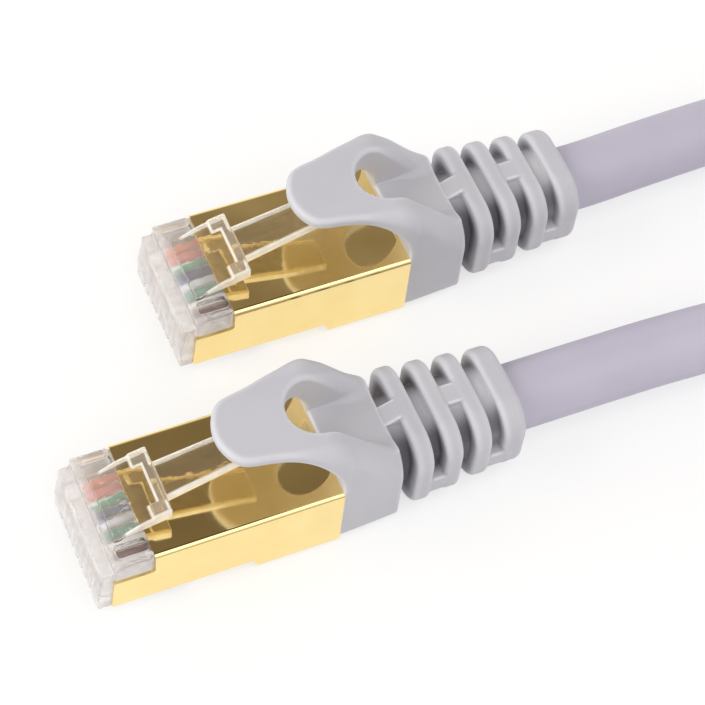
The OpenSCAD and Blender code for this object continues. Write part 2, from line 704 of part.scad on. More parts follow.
at_plug(1) wire(7, "saddlebrown");  // wire_brown_b
at_plug(1) wire_cores();  // wire_cores_b
at_plug(1) pair_foils();  // pair_foils_b
at_plug(1) braid();  // braid_b
at_plug(1) jacket_end();  // jacket_end_b
at_plug(1) shell();  // shell_b
at_plug(1) inner_mould();  // inner_mould_b
at_plug(1) boot();  // boot_b
at_plug(1) latch_guard();  // latch_guard_b
at_plug(1) strain_relief();  // strain_relief_b
cable_lead_a();
cable_lead_b();
cable_coil();
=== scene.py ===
import math

import bpy
import numpy as np
from mathutils import Matrix, Vector


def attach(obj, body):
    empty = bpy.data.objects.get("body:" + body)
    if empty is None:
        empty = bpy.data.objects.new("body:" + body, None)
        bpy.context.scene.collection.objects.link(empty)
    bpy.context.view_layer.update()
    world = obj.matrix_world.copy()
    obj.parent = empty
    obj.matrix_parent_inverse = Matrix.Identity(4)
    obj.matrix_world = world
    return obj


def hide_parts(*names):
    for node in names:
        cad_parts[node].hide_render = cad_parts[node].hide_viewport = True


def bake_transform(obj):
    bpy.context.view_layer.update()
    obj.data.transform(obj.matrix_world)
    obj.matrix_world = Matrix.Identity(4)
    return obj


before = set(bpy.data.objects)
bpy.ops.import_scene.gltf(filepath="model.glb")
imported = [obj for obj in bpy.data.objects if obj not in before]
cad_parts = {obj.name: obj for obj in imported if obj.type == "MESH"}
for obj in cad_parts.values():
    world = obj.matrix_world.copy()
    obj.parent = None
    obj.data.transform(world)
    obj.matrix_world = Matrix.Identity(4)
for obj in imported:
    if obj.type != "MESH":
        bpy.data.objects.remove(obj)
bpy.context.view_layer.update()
MM = 0.001
scene = bpy.context.scene
scene.view_settings.view_transform = "Standard"

# ---------------------------------------------------------------- places and sizes, in millimetres

# Each plug is worked out with the flat front of its nose at x = 0, its underside at z = 0 and its cable towards +X.
PLUG_AT = {"a": (-12.15, 10.2, 1.2), "b": (-27.15, -10.2, 1.2)}
AXIS_Z = 3.3
SHELL_FRONT, SHELL_REAR = 4.6, 21.5
RELIEF_X, RELIEF_END = 27.3, 39.3
PITCH = 1.02
WIRE_D, ROW_Z = 0.82, 3.5
WIRES_IN_ROW = 8
CABLE_D = 6.2
BORE_GAP = 0.02
BORE_R = CABLE_D / 2 + BORE_GAP

# ---------------------------------------------------------------- camera

FOCAL_PIXELS = 2500.0
PICTURE = 705
SENSOR = 36.0
VIEW_AZIMUTH = -29.59
VIEW_ELEVATION = 55.93
VIEW_ROLL = 8.06
VIEW_DISTANCE = 225.9
VIEW_SHIFT = (17.24, -3.07)
NEAREST_SEEN = 0.01  # metres


def make_camera():
    """Looks down at the plugs: azimuth and elevation give the sight line, and the roll turns the picture about it."""
    az, el, roll = (math.radians(v) for v in (VIEW_AZIMUTH, VIEW_ELEVATION, VIEW_ROLL))
    look = Vector((-math.sin(az) * math.cos(el), math.cos(az) * math.cos(el), -math.sin(el)))
    level = look.cross(Vector((0, 0, 1))).normalized()
    rise = level.cross(look)
    right = level * math.cos(roll) + rise * math.sin(roll)
    up = rise * math.cos(roll) - level * math.sin(roll)
    place = Vector(PLUG_AT["a"]) - look * VIEW_DISTANCE + right * VIEW_SHIFT[0] + up * VIEW_SHIFT[1]
    data = bpy.data.cameras.new("camera")
    data.sensor_width = SENSOR
    data.lens = FOCAL_PIXELS / PICTURE * SENSOR
    data.clip_start = NEAREST_SEEN
    camera = bpy.data.objects.new("camera", data)
    turn = Matrix((right, up, -look)).transposed()
    camera.matrix_world = Matrix.Translation(place * MM) @ turn.to_4x4()
    scene.collection.objects.link(camera)
    scene.camera = camera


# ---------------------------------------------------------------- shader maths


class Shade:
    """A number or colour that a node gives out; arithmetic on numbers adds Math nodes to the same finish."""

    def __init__(self, finish, socket):
        self.finish = finish
        self.socket = socket

    def __add__(self, other):
        return self.finish.maths("ADD", self, other)

    def __sub__(self, other):
        return self.finish.maths("SUBTRACT", self, other)

    def __rsub__(self, other):
        return self.finish.maths("SUBTRACT", other, self)

    def __mul__(self, other):
        return self.finish.maths("MULTIPLY", self, other)

    def __abs__(self):
        return self.finish.maths("ABSOLUTE", self)

    __radd__ = __add__
    __rmul__ = __mul__


class Finish:
    """Nodes of one material or of the world."""

    def __init__(self, owner):
        owner.use_nodes = True
        self.owner = owner
        self.tree = owner.node_tree
        self.tree.nodes.clear()

    def node(self, kind, settings=None, out=0, **inputs):
        """Adds a node: its settings first, then a value or a link for each socket. A space in a socket's name is an
        underscore here, and a socket that is told by its number is _0, _1 and so on."""
        made = self.tree.nodes.new("ShaderNode" + kind)
        for name, value in (settings or {}).items():
            setattr(made, name, value)
        for name, value in inputs.items():
            key = int(name[1:]) if name[0] == "_" else name.replace("_", " ")
            self.feed(made.inputs[key], value)
        return Shade(self, made.outputs[out] if made.outputs else None)

    def feed(self, socket, value):
        """Links a shade to a socket, or sets a plain value on it."""
        if isinstance(value, Shade):
            self.tree.links.new(value.socket, socket)
        else:
            socket.default_value = value

    def maths(self, operation, *values):
        """A Math node on numbers or shades."""
        inputs = {f"_{k}": value for k, value in enumerate(values)}
        return self.node("Math", {"operation": operation}, **inputs)

    def between(self, value, low, high, start=0.0, end=1.0):
        """start where value is at most low, end where it is at least high, and a smooth step between them."""
        return self.node(
            "MapRange",
            {"interpolation_type": "SMOOTHSTEP"},
            Value=value, From_Min=low, From_Max=high, To_Min=start, To_Max=end,
        )

    def blend(self, share, first, second):
        """Colour first where share is 0, second where it is 1."""
        return self.node("Mix", {"data_type": "RGBA"}, out=2, _0=share, _6=first, _7=second)

    def place(self):
        """Where a point lies on the piece, in the frame's own metres."""
        return self.node("TexCoord", out=3)

    def parts(self, vector):
        """x, y and z of a vector."""
        split = self.node("SeparateXYZ", Vector=vector)
        return [Shade(self, socket) for socket in split.socket.node.outputs]

    def grain(self, per_mm, detail):
        """Soft noise from 0 to 1 with that many swells in a millimetre; more detail adds finer ones."""
        return self.node("TexNoise", Vector=self.place(), Scale=per_mm / MM, Detail=detail)

    def ray(self, kind):
        """1 for light that comes along that kind of ray, 0 for any other."""
        return Shade(self, self.node("LightPath").socket.node.outputs[f"Is {kind} Ray"])

    def mark(self, name):
        """The number from 0 to 1 that a piece carries at its points under that name."""
        return self.node("Attribute", {"attribute_name": name}, out=2)

    def bump(self, height, distance, strength=1.0):
        """Normal of a surface raised by height, 0 to 1, times a distance in millimetres."""
        return self.node("Bump", Height=height, Distance=distance * MM, Strength=strength)


def new_finish(name):
    """Empty node tree of a new material."""
    return Finish(bpy.data.materials.new(name))


def close_finish(finish, **inputs):
    """The finish's surface, from values or links for the sockets that differ from plain plastic."""
    surface = finish.node("BsdfPrincipled", **inputs)
    finish.node("OutputMaterial", Surface=surface)
    return finish.owner


# ---------------------------------------------------------------- finishes

# Lengths are in millimetres. A grain's number is its swells in a millimetre, and "between" spreads its middle range.
# painted highlight: the paler colour that the vinyl's edges are painted towards
PAINTED_EDGE_HIGHLIGHT = (0.88, 0.885, 0.92, 1)
# painted shade: the dark colour painted into the grooves between the rings
PAINTED_GROOVE_SHADE = (0.13, 0.12, 0.14, 1)
GOLD_PITS = 0.0006
CLEAR_IOR, MILKY_IOR = 1.58, 1.4
STRIPE_HALF, STRIPE_EDGE, STRIPE_CREEP = 0.16, 0.2, 0.05
STRANDS_ROUND, STRANDS_ALONG = 3.8, 2.4


def moulded_vinyl(name, colour, shade, rough):
    """Soft matte vinyl: faint clouding of its colour, a satin skin and the fine grain of the mould. Its edges carry a
    painted highlight, paler as the piece's rim mark says, and its grooves a painted shade, darker as the piece's
    groove mark says."""
    f = new_finish(name)
    cloud = f.between(f.grain(0.18, 3), 0.35, 0.7)
    grain = f.grain(9, 3)
    # painted highlight: the colour is painted paler towards the piece's outer edges, as the rim mark says
    highlighted_colour = f.blend(f.mark("rim"), f.blend(cloud, colour, shade), PAINTED_EDGE_HIGHLIGHT)
    return close_finish(
        f,
        # painted shade: the grooves between the rings are painted darker, as the piece's mark for them says
        Base_Color=f.blend(f.mark("groove"), highlighted_colour, PAINTED_GROOVE_SHADE),
        Roughness=f.between(grain, 0.2, 0.8, rough - 0.04, rough + 0.05),
        Normal=f.bump(grain, 0.006, 0.5),
        Specular_IOR_Level=0.35,
    )


def gold_plate(name, colour, tint, rough, wave):
    """Gold plating over stamped sheet: nearly a mirror, with slow waves from the press and a speckle of fine pits."""
    f = new_finish(name)
    waves = f.grain(0.12, 1)
    pits = f.grain(5, 2)
    patches = f.between(f.grain(0.3, 3), 0.3, 0.75)
    height = waves * wave + pits * GOLD_PITS
    return close_finish(
        f,
        Base_Color=f.blend(patches, colour, tint),
        Metallic=1.0,
        Roughness=f.between(f.grain(0.8, 3), 0.25, 0.8, rough, rough + 0.06),
        Normal=f.bump(height, 1.0),
    )


def clear_plastic(name, tint, milk, rough):
    """Clear polycarbonate with the faint ripple of a moulded part, as milky as the piece's frost says. Where it is
    milky it has a glossy skin. Lamp light passes straight through it to what it holds."""
    f = new_finish(name)
    ripple = f.bump(f.grain(0.9, 2), 0.05)
    clear = f.node(
        "BsdfPrincipled",
        Base_Color=tint,
        Roughness=f.between(f.grain(1.5, 2), 0.3, 0.8, rough, rough + 0.05),
        IOR=CLEAR_IOR,
        Transmission_Weight=1.0,
        Normal=ripple,
    )
    frosted = f.node(
        "BsdfPrincipled", Base_Color=milk, Roughness=0.4, IOR=MILKY_IOR, Transmission_Weight=0.25, Normal=ripple,
        Coat_Weight=1.0, Coat_Roughness=0.06,
    )
    cloud = f.between(f.grain(0.7, 3), 0.3, 0.75, 0.8, 1.1)
    surface = f.node("MixShader", _0=f.mark("frost") * cloud, _1=clear, _2=frosted)
    light = f.maths("MAXIMUM", f.ray("Shadow"), f.ray("Diffuse"))
    through = f.node("BsdfTransparent", Color=tint)
    f.node("OutputMaterial", Surface=f.node("MixShader", _0=light, _1=surface, _2=through))
    return f.owner


def insulation(name, colour, stripe=None, turned=0.0):
    """Wire insulation; a striped one carries its colour as a band that creeps round the wire, turned at its start."""
    f = new_finish(name)
    base = colour
    if stripe:
        along, around, _ = f.parts(f.node("UVMap"))
        turn = f.maths("FRACT", around + along * STRIPE_CREEP + turned)
        band = f.between(abs(turn - 0.5), STRIPE_HALF, STRIPE_EDGE, 1.0, 0.0)
        base = f.blend(band, colour, stripe)
    else:
        base = f.blend(f.between(f.grain(1.2, 2), 0.3, 0.8), colour, tuple(0.9 * c for c in colour[:3]) + (1,))
    return close_finish(f, Base_Color=base, Roughness=0.38, Normal=f.bump(f.grain(6, 2), 0.003))


def plain_metal(name, colour, dull, rough):
    """Bare metal, slightly tarnished in patches, with fine scratches of noise."""
    f = new_finish(name)
    patches = f.between(f.grain(0.9, 3), 0.35, 0.75)
    return close_finish(
        f,
        Base_Color=f.blend(patches, colour, dull),
        Metallic=1.0,
        Roughness=f.between(f.grain(4, 3), 0.2, 0.8, rough, rough + 0.15),
        Normal=f.bump(f.grain(12, 2), 0.004),
    )


def woven_braid():
    """Braided screen: two sets of strands, each a sine of the turn round the axis plus or minus the way along it,
    cross in a fine diamond weave."""
    f = new_finish("braid_wire")
    x, y, z = f.parts(f.place())
    turn = f.maths("ARCTAN2", z - (PLUG_AT["a"][2] + AXIS_Z) * MM, y - PLUG_AT["a"][1] * MM) * STRANDS_ROUND
    way = x * (STRANDS_ALONG / MM)
    left = abs(f.maths("SINE", turn + way))
    right = abs(f.maths("SINE", turn - way))
    strands = f.maths("MAXIMUM", left, right)
    return close_finish(
        f,
        Base_Color=f.blend(strands, (0.2, 0.13, 0.08, 1), (0.8, 0.62, 0.45, 1)),
        Metallic=1.0,
        Roughness=0.35,
        Normal=f.bump(strands, 0.05),
    )


VINYL = moulded_vinyl("boot_vinyl", (0.6, 0.596, 0.638, 1), (0.58, 0.573, 0.623, 1), 0.5)
JACKET = moulded_vinyl("jacket_vinyl", (0.562, 0.53, 0.64, 1), (0.542, 0.51, 0.622, 1), 0.46)
GOLD = gold_plate("gold_plating", (1.0, 0.79, 0.37, 1), (0.96, 0.75, 0.33, 1), 0.06, 0.15)
CONTACT_GOLD = gold_plate("contact_gold", (1.0, 0.72, 0.3, 1), (0.93, 0.64, 0.25, 1), 0.15, 0.01)
CLEAR = clear_plastic("clear_plastic", (0.99, 0.985, 0.985, 1), (1.0, 0.97, 0.975, 1), 0.03)
LATCH_CLEAR = clear_plastic("latch_plastic", (0.98, 0.965, 0.94, 1), (1.0, 0.96, 0.89, 1), 0.02)
GUIDE = moulded_vinyl("guide_plastic", (0.82, 0.82, 0.8, 1), (0.78, 0.78, 0.76, 1), 0.45)
INNER = moulded_vinyl("inner_mould_plastic", (0.6, 0.6, 0.61, 1), (0.56, 0.56, 0.58, 1), 0.5)
COPPER = plain_metal("bare_copper", (0.9, 0.5, 0.33, 1), (0.6, 0.3, 0.18, 1), 0.25)
FOIL = plain_metal("foil_wrap", (0.85, 0.85, 0.87, 1), (0.7, 0.7, 0.73, 1), 0.22)
BRAID = woven_braid()

# Insulation from the far side of the row to the near side, as node name: (colour, stripe, the stripe's turn)
WIRES = {
    "wire_white_orange": ((0.88, 0.72, 0.66, 1), (0.85, 0.25, 0.12, 1), 0.1),
    "wire_orange": ((0.85, 0.22, 0.17, 1),),
    "wire_white_green": ((0.72, 0.85, 0.75, 1), (0.05, 0.42, 0.2, 1)),
    "wire_blue": ((0.03, 0.04, 0.16, 1),),
    "wire_white_blue": ((0.82, 0.86, 0.92, 1), (0.1, 0.3, 0.72, 1), 0.45),
    "wire_green": ((0.05, 0.32, 0.2, 1),),
    "wire_white_brown": ((0.85, 0.8, 0.78, 1), (0.3, 0.13, 0.08, 1), 0.45),
    "wire_brown": ((0.14, 0.055, 0.05, 1),),
}

# ---------------------------------------------------------------- meshes

TIP_SHARE = 0.02


def add_piece(name, points, faces, material, body, slot, normals=None, uv=None, **marks):
    """A piece from its points in millimetres and its four-sided faces; it rides on a body of the frame. Its marks are
    numbers from 0 to 1 at its points that its finish reads by name."""
    mesh = bpy.data.meshes.new(name)
    mesh.from_pydata((points * MM).tolist(), [], faces.tolist())
    mesh.polygons.foreach_set("use_smooth", np.ones(len(faces), bool))
    if uv is not None:
        mesh.uv_layers.new(name="UVMap").data.foreach_set("uv", uv[faces.ravel()].ravel())
    for mark, share in marks.items():
        mesh.attributes.new(mark, "FLOAT", "POINT").data.foreach_set("value", share.astype(np.float32))
    if normals is not None:
        mesh.normals_split_custom_set_from_vertices(normals.tolist())
    mesh.materials.append(material)
    piece = bpy.data.objects.new(name, mesh)
    scene.collection.objects.link(piece)
    if body:
        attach(piece, body)
    return piece


def swept_tube(line, radius, sides):
    """Round tube along a line: point k turns through the angle a as p(k) + r (cos a s(k) + sin a u(k)), where s and u
    are square to the line's heading. Rings of hardly any radius close its ends. Gives points, faces and UV, which is
    the way along in millimetres and the share of a turn."""
    heading = np.gradient(line, axis=0)
    heading /= np.linalg.norm(heading, axis=1)[:, None]
    side = np.cross([0, 0, 1], heading)
    side /= np.linalg.norm(side, axis=1)[:, None]
    rise = np.cross(heading, side)
    along = np.append(0, np.cumsum(np.linalg.norm(np.diff(line, axis=0), axis=1)))
    rows = np.r_[0, np.arange(len(line)), len(line) - 1]
    radii = np.full(len(rows), radius)
    radii[[0, -1]] = radius * TIP_SHARE
    share = np.arange(sides) / sides
    angle = 2 * np.pi * share
    ring = np.cos(angle)[None, :, None] * side[rows][:, None] + np.sin(angle)[None, :, None] * rise[rows][:, None]
    points = (line[rows][:, None] + radii[:, None, None] * ring).reshape(-1, 3)
    row = np.arange(len(rows) - 1)[:, None] * sides
    first = (row + np.arange(sides)).ravel()
    turned = (row + (np.arange(sides) + 1) % sides).ravel()
    faces = np.stack([first, turned, turned + sides, first + sides], 1)
    uv = np.stack(np.broadcast_arrays(along[rows][:, None], share[None]), -1).reshape(-1, 2)
    return points, faces, uv


# ---------------------------------------------------------------- solids from fields

# A field is a function of x, y and z that is negative inside the solid and grows by about 1 in each millimetre.

OUTSIDE = 0.01  # least value of a field on the faces of its grid, which closes every net
SLOPE_REACH = 0.02
NEWTON_STEPS, LONGEST_MOVE = 4, 0.1
FLATTEST = 0.05  # least square of a gradient that a Newton step is divided by
RIM_REACH, RIM_SHARPNESS = 0.3, 0.25


def round_max(a, b, r):
    """What lies in both a and b, with the edge where they meet rounded to the radius r."""
    return np.minimum(-r, np.maximum(a, b)) + np.hypot(np.maximum(a + r, 0), np.maximum(b + r, 0))


def round_min(a, b, r):
    """What lies in a or in b, with a fillet of the radius r where they meet."""
    return -round_max(-a, -b, r)


def soft_max(a, b, reach):
    """What lies in both a and b, for faces that meet at a shallow angle: the larger one, lifted near the seam."""
    return np.maximum(a, b) + np.maximum(reach - abs(a - b), 0) ** 2 / (4 * reach)


def span(v, low, high):
    """Between two values of one coordinate."""
    return np.maximum(low - v, v - high)


def rounded_box(y, z, w, h, r):
    """Rectangle w by h in y and z with round corners."""
    p, q = abs(y) - w / 2 + r, abs(z) - h / 2 + r
    return np.hypot(np.maximum(p, 0), np.maximum(q, 0)) + np.minimum(np.maximum(p, q), 0) - r


def eased(t):
    """0 to 1 with a soft start and end."""
    t = np.clip(t, 0, 1)
    return t * t * (3 - 2 * t)


def radius_along(t, low, *growths):
    """Radius of a rounding: low, and then more by each growth (by, start, length) along the coordinate t."""
    return low + sum(by * eased((t - start) / length) for by, start, length in growths)


def steps(low, high, step):
    """Evenly spaced coordinates from low to high, at most a step apart."""
    return np.linspace(low, high, int(math.ceil((high - low) / step)) + 1)


def box_lines(box, step):
    """The three lines of coordinates of a grid that fills a box of (low, high) along x, y and z."""
    return [steps(low, high, step) for low, high in box]


def window(axis, start, stop):
    """Index that takes start to stop on one axis and everything on the other two."""
    cut = [slice(None)] * 3
    cut[axis] = slice(start, stop)
    return tuple(cut)


def skin(field, *lines):
    """Surface net of a field over the grid that three lines of coordinates span. A cell that the surface enters gets
    the mean of the crossings on its edges, and the four cells round a crossed edge make a face. Newton steps, p minus
    f g / g.g, bring the points onto the surface, and the gradient g there is the normal."""
    value = field(*np.meshgrid(*lines, indexing="ij"))
    for a in range(3):
        for end in (slice(0, 1), slice(-1, None)):
            rim = value[window(a, end.start, end.stop)]
            np.maximum(rim, OUTSIDE, out=rim)
    # In each cell: how many of its edges are crossed, and the sum of the crossings' places within the cell
    size = np.array(value.shape)
    hits = np.zeros(size - 1)
    total = np.zeros((3, *(size - 1)))
    crossings = []
    for a in range(3):
        b, c = (a + 1) % 3, (a + 2) % 3
        near, far = value[window(a, 0, -1)], value[window(a, 1, None)]
        crossed = (near < 0) != (far < 0)
        share = np.where(crossed, near / np.where(crossed, near - far, 1), 0)
        for i, j in ((0, 0), (0, 1), (1, 0), (1, 1)):
            cut = list(window(b, i, size[b] - 1 + i))
            cut[c] = slice(j, size[c] - 1 + j)
            met = crossed[tuple(cut)]
            hits += met
            total[a] += share[tuple(cut)]
            total[b] += i * met
            total[c] += j * met
        crossings.append((crossed, near < 0))
    used = hits > 0
    cell = np.argwhere(used)
    number = np.zeros(size - 1, int)
    number[used] = np.arange(len(cell))
    within = (total[:, used] / hits[used]).T
    points = np.stack(
        [line[cell[:, k]] + within[:, k] * np.diff(line)[cell[:, k]] for k, line in enumerate(lines)], 1
    )
    # A face for each crossed edge, turned so that it looks away from the edge's inner end
    faces = []
    for a, (crossed, low_inside) in enumerate(crossings):
        b, c = (a + 1) % 3, (a + 2) % 3
        edge = np.argwhere(crossed)
        corners = []
        for i, j in ((1, 1), (0, 1), (0, 0), (1, 0)):
            at = edge.copy()
            at[:, b] -= i
            at[:, c] -= j
            corners.append(number[tuple(at.T)])
        quads = np.stack(corners, 1)
        outwards = low_inside[crossed]
        faces.append(np.where(outwards[:, None], quads, quads[:, ::-1]))

    def slope(p):
        """The field's gradient at points p, from its values a reach to either side along x, y and z."""
        ahead_less_behind = [field(*(p + SLOPE_REACH * e).T) - field(*(p - SLOPE_REACH * e).T) for e in np.eye(3)]
        return np.stack(ahead_less_behind, 1) / (2 * SLOPE_REACH)

    for _ in range(NEWTON_STEPS):
        g = slope(points)
        move = field(*points.T)[:, None] * g / np.maximum((g * g).sum(1), FLATTEST)[:, None]
        points = points - np.clip(move, -LONGEST_MOVE, LONGEST_MOVE)
    g = slope(points)
    return points, np.vstack(faces), g / np.maximum(np.linalg.norm(g, axis=1), 1e-6)[:, None]


def edges(field, points):
    """1 on outer edges and 0 on flat or hollow places: the field's mean at six points a reach away, over the reach."""
    around = sum(field(*(points + side * RIM_REACH * e).T) for e in np.eye(3) for side in (-1, 1)) / 6
    return eased(around / (RIM_SHARPNESS * RIM_REACH))


def at_plug(k, points):
    """A plug's own points, moved to where that plug lies."""
    return points + np.array(PLUG_AT[k])


# ---------------------------------------------------------------- cable

FLOOR_Z = CABLE_D / 2
STRAIGHT = 3
COIL_AT = (84.4, -18.9)
COIL_OUT = 31.5
COIL_INSET = 4.5
LAYER_H = 6.7
COIL_TURNS = 5 / 3
COIL_POINTS = 40
CURVE_STEPS, CURVE_SIDES = 8, 10
# Where each lead passes between its plug and the coil
LEAD_A = [36, 10.5, 4.5], [43, 10.8, 4.4], [51, 11.2, 3.7], [59, 11.7, 3.2], [67, 12.2, 3.1]
LEAD_B = (
    [22, -10.2, 4.5], [28.5, -10.3, 4.5], [34.9, -11.1, 5.1], [40.7, -13.5, 6.4], [45.8, -17.3, 8],
    [49.6, -22.1, 9.3],
)
EXIT_A = np.array(PLUG_AT["a"]) + [RELIEF_END, 0, AXIS_Z]
EXIT_B = np.array(PLUG_AT["b"]) + [RELIEF_END, 0, AXIS_Z]


def coil_point(u):
    """Coil after u turns: clockwise from its far side, spiralling in and out again, and up a layer in between."""
    angle = np.radians(90 - 360 * u)
    r = COIL_OUT - COIL_INSET * (COIL_TURNS / 2 - abs(u - COIL_TURNS / 2))
    z = FLOOR_Z + LAYER_H * eased(2 * (u - COIL_TURNS / 2) + 0.5)
    return np.stack([COIL_AT[0] + r * np.cos(angle), COIL_AT[1] + r * np.sin(angle), z], -1)


def along_turn(u):
    """The coil's heading after u turns, square to its radius."""
    angle = math.radians(90 - 360 * u)
    return np.array([math.sin(angle), -math.cos(angle), 0])


def make_cable():
    """The free cable: one smooth curve from plug a through the coil to plug b. At each point of its route the curve
    heads along the chord between the two neighbours, with handles a third of the way to each."""
    start = coil_point(0.0) - CABLE_D * along_turn(0)
    stop = coil_point(COIL_TURNS) + CABLE_D * along_turn(COIL_TURNS)
    route_a = [EXIT_A, EXIT_A + [STRAIGHT, 0, 0], *LEAD_A, start - STRAIGHT * along_turn(0), start]
    route_b = [EXIT_B, EXIT_B + [STRAIGHT, 0, 0], *LEAD_B, stop + STRAIGHT * along_turn(COIL_TURNS), stop]
    coil = coil_point(np.linspace(0, COIL_TURNS, COIL_POINTS))
    line = np.vstack([route_a, coil, route_b[::-1]])
    curve = bpy.data.curves.new("cable", "CURVE")
    curve.dimensions = "3D"
    curve.resolution_u = CURVE_STEPS
    curve.bevel_depth = CABLE_D / 2 * MM
    curve.bevel_resolution = CURVE_SIDES
    curve.use_fill_caps = True
    spline = curve.splines.new("BEZIER")
    spline.bezier_points.add(len(line) - 1)
    before = np.vstack([2 * line[0] - line[1], line[:-1]])
    after = np.vstack([line[1:], 2 * line[-1] - line[-2]])
    heading = after - before
    heading /= np.linalg.norm(heading, axis=1)[:, None]
    back = np.linalg.norm(line - before, axis=1)[:, None] / 3
    ahead = np.linalg.norm(after - line, axis=1)[:, None] / 3
    spline.bezier_points.foreach_set("co", (line * MM).ravel())
    spline.bezier_points.foreach_set("handle_left", ((line - back * heading) * MM).ravel())
    spline.bezier_points.foreach_set("handle_right", ((line + ahead * heading) * MM).ravel())
    cable = bpy.data.objects.new("cable", curve)
    scene.collection.objects.link(cable)
    curve.materials.append(JACKET)
    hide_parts("cable_lead_a", "cable_lead_b", "cable_coil")
    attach(cable, "plugs_and_cable")


make_camera()
make_cable()

# ---------------------------------------------------------------- overmould

SOFT_STEP = 0.14
BOOT_BOX = (11.5, 27.6), (-6.3, 6.3), (-0.9, 12.9)
BOOT_W, BOOT_REAR_W = 11.9, 10.8
BOOT_DROP = 0.6
BOOT_EDGE = 0.3
HINGE_X = 21.9
GUARD_TOP, GUARD_UNDER = 12.6, 11.45
BROW_Z, ARM_REAR_Z = 12.0, 7.7
BROW_REACH = 0.6
FLARE_X, FLARE_FROM, FLARE_POWER, FLARE_REACH = 13.5, 3.4, 1.6, 1.0
FRONT_ARC, FRONT_ARC_X, FRONT_ARC_HALF, FRONT_REACH = 4.4, 16.16, 4.0, 0.7
ARCH_R = 5.1
SLOT_X, SLOT_R = 20.9, 2.7
SADDLE_Z, SADDLE_HALF = 7.2, 3.5
MOULD_ROOM_W, MOULD_ROOM_H, MOULD_ROOM_R, MOULD_ROOM_END = 8.44, 5.84, 1, 24.52
# Roundings that grow: a first radius, then (growth, where it starts, over what length) along x, or z for the arch
SLOT_EDGE = 0.4, (1.2, 21, 5)
SADDLE_FILLET = 0.12, (0.8, 23, 3)
SHOULDER_EDGE = 0.5, (1, 17, 4), (1, 23, 3)
ARCH_EDGE = 0.12, (0.23, 6.6, 1.5)


def overmould(x, y, z):
    """Boot with its latch guard. From above, the sides flare from the paddle to the block and then narrow, and the
    front is an arc; the top runs level and then falls to the rear. An arch is cut out below the paddle, a slot with
    a round front from above, and the hollow for the inner mould and the cable from inside."""
    s = abs(y)
    reach = np.clip((x - FLARE_X) / (HINGE_X - FLARE_X), 0, 1)
    rise = BOOT_W / 2 - FLARE_FROM
    lean = rise * FLARE_POWER / (HINGE_X - FLARE_X) * reach ** (FLARE_POWER - 1)
    flare = (s - FLARE_FROM - rise * reach**FLARE_POWER) / np.hypot(1, lean)
    taper = s - BOOT_W / 2 + (x - SHELL_REAR) * (BOOT_W - BOOT_REAR_W) / 2 / (RELIEF_X - SHELL_REAR)
    plan = soft_max(flare, taper, FLARE_REACH)
    depth = np.sqrt(FRONT_ARC**2 - np.minimum(s, FRONT_ARC_HALF) ** 2)
    front = (FRONT_ARC_X - depth - x) * depth / FRONT_ARC
    plan = soft_max(plan, front, FRONT_REACH)
    fall = math.atan2(BROW_Z - ARM_REAR_Z, RELIEF_X - HINGE_X)
    slope = (x - HINGE_X) * math.sin(fall) + (z - BROW_Z) * math.cos(fall)
    top = soft_max(z - GUARD_TOP, slope, BROW_REACH)
    body = round_max(plan, -BOOT_DROP - z, BOOT_EDGE)
    slot = np.where(x > SLOT_X, s, np.hypot(x - SLOT_X, y)) - SLOT_R
    upper = round_max(top, -slot, radius_along(x, *SLOT_EDGE))
    saddle = np.maximum(s - SADDLE_HALF, z - SADDLE_Z)
    upper = round_min(upper, saddle, radius_along(x, *SADDLE_FILLET))
    body = round_max(body, upper, radius_along(x, *SHOULDER_EDGE))
    body = round_max(body, x - RELIEF_X, BOOT_EDGE)
    arch = round_max(x - SHELL_REAR, z - GUARD_UNDER, ARCH_R)
    body = round_max(body, -arch, radius_along(z, *ARCH_EDGE))
    v = z - AXIS_Z
    hollow = np.maximum(rounded_box(y, v, MOULD_ROOM_W, MOULD_ROOM_H, MOULD_ROOM_R), x - MOULD_ROOM_END)
    bore = np.hypot(y, v) - BORE_R
    return np.maximum(body, -np.minimum(hollow, bore))


RELIEF_BOX = (26.7, 39.6), (-5.8, 5.8), (-1.5, 8.1)
RELIEF_CORE = 7.3, 7, 3
RINGS = 4
RING_T, LAST_RING_T, RING_GAP = 1.6, 2.2, 1.25
RING_W, RING_W_STEP, RING_H, RING_H_STEP = 11, 0.46, 9, 0.3
RING_CORNER = 2.8
RING_FRONT_EDGE, RING_REAR_EDGE, LAST_REAR_EDGE = 0.5, 0.45, 0.75
RING_FILLET = 0.15
BRIDGE_STEP = 0.03
TOP_BRIDGE_HALF = 1
SIDE_BRIDGE_Z, SIDE_BRIDGE_HALF = -1.35, 1.1
BRIDGE_EDGE, BRIDGE_END_EDGE = 0.12, 0.05
INTO_RING_BEFORE, INTO_RING_AFTER = 0.4, 0.8


